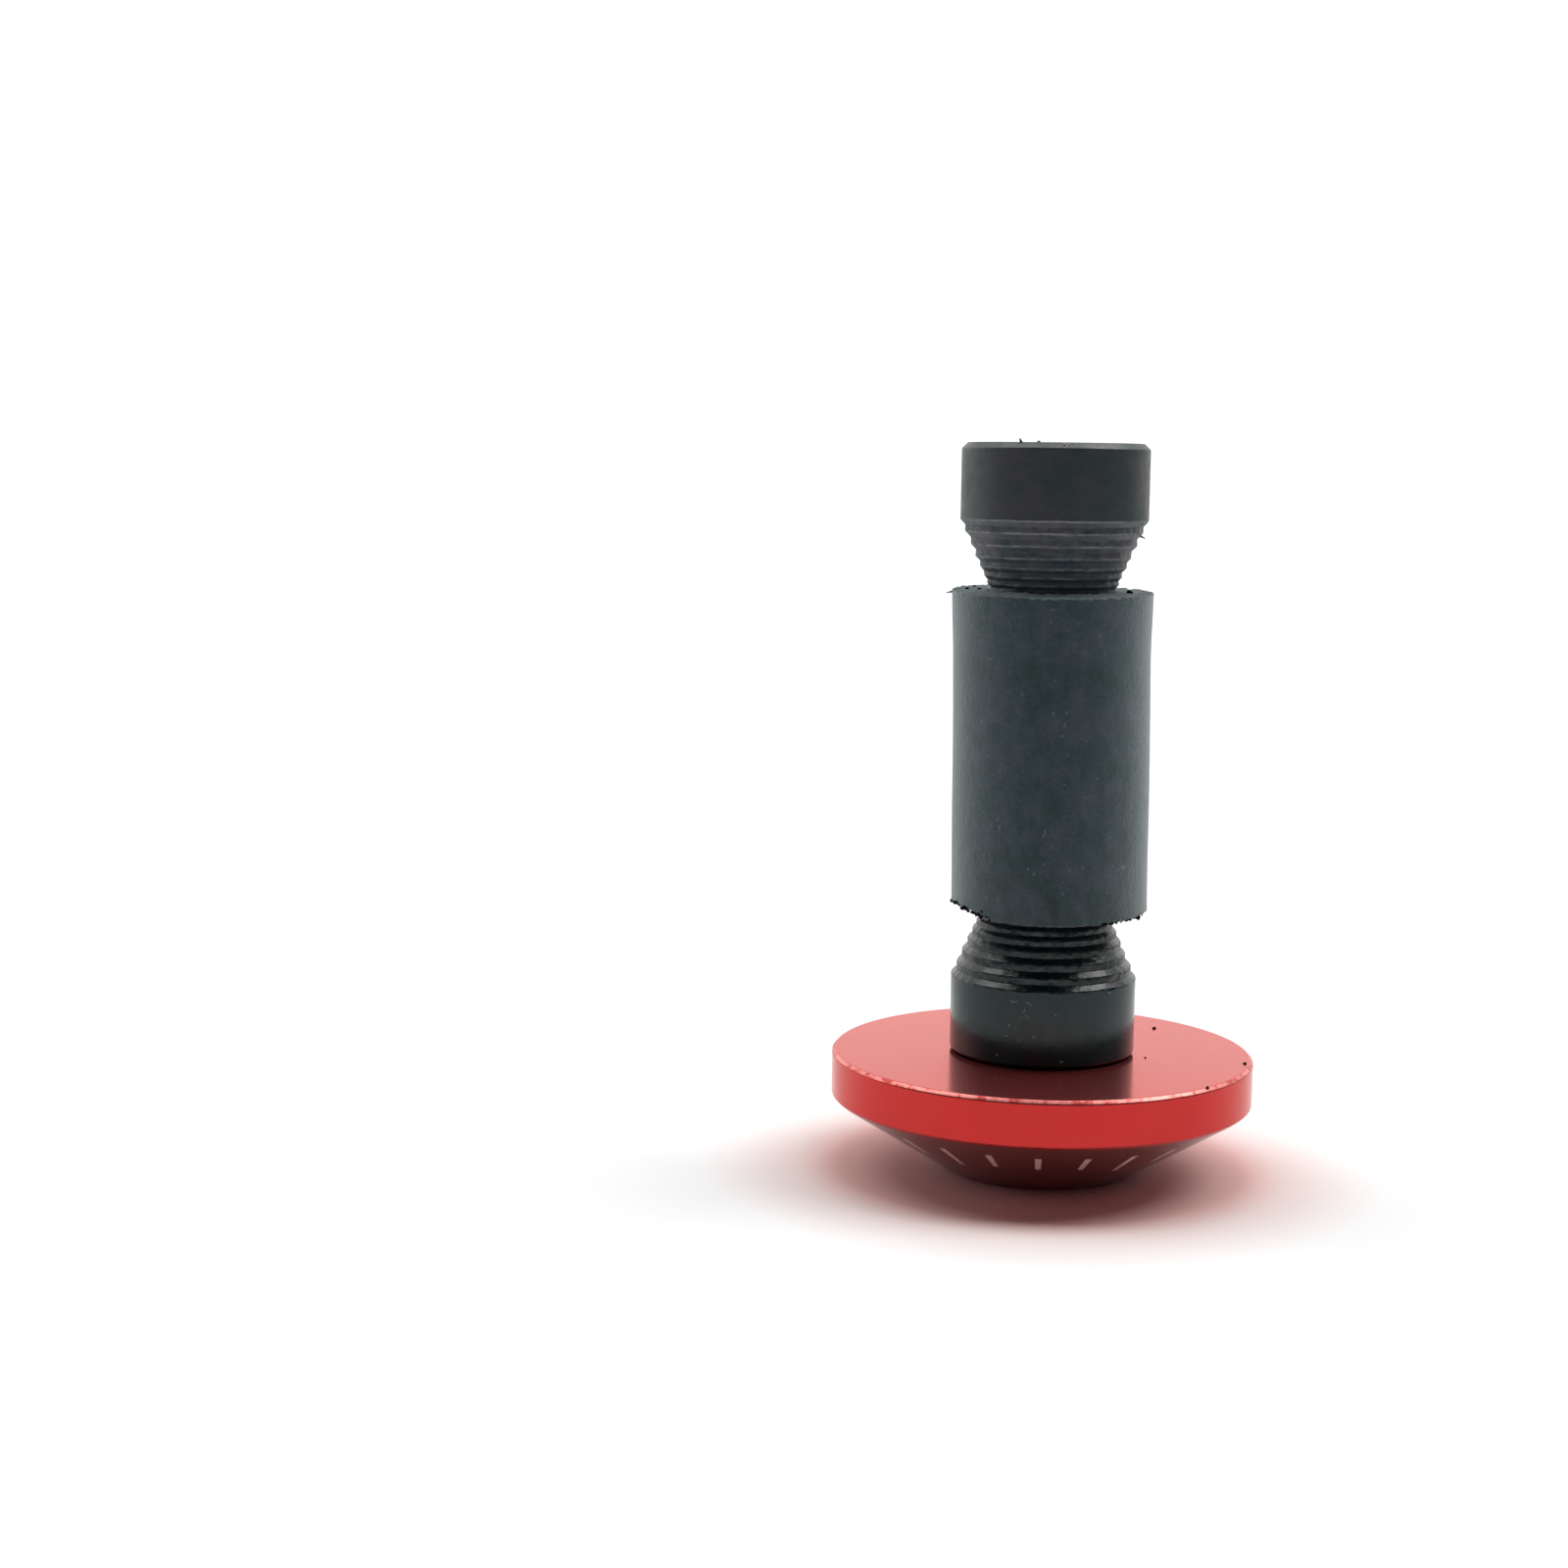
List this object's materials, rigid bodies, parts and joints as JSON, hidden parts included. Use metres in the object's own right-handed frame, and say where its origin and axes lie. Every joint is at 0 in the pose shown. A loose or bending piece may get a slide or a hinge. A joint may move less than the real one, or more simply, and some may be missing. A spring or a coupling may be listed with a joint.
{
  "type": "bar end weight",
  "caption": "Motorcycle handlebar end weight: a red turned cap whose hexagon socket screw draws ribbed cones into a rubber sleeve that swells and grips inside the bar.",
  "frame": {"origin": "centre of the flat nose ring of the cap, on the surface the part stands on", "axes": "+Z along the part's axis, from the cap's nose towards the rear cone; the part is round, so X and Y are free"},
  "size_m": [0.032, 0.032, 0.0551],
  "materials": {
    "anodised_cap": "turned and anodised, glossy",
    "screw_steel": "zinc plated, bright",
    "front_plastic": "black, satin and lightly scratched",
    "sleeve_rubber": "matte black with ragged cut ends",
    "rear_plastic": "black, dull, with torn ribs"
  },
  "bodies": {
    "body": {"end_cap": "anodised_cap", "front_cone": "front_plastic", "rubber_sleeve": "sleeve_rubber"},
    "screw": {"cap_screw": "screw_steel"},
    "rear": {"rear_cone": "rear_plastic"}
  },
  "joints": [
    {"name": "screw_turn", "type": "hinge", "parent": "body", "child": "screw", "pos_m": [0, 0, 0], "axis": [0, 0, 1], "range_deg": [0, 1440]},
    {"name": "rear_slide", "type": "slide", "parent": "body", "child": "rear", "axis": [0, 0, -1], "range_m": [0, 0.004], "deforming": ["rubber_sleeve"]}
  ],
  "couplings": [
    {"joint": "rear_slide", "follows": "screw_turn", "m_per_rad": 0.00015915}
  ]
}
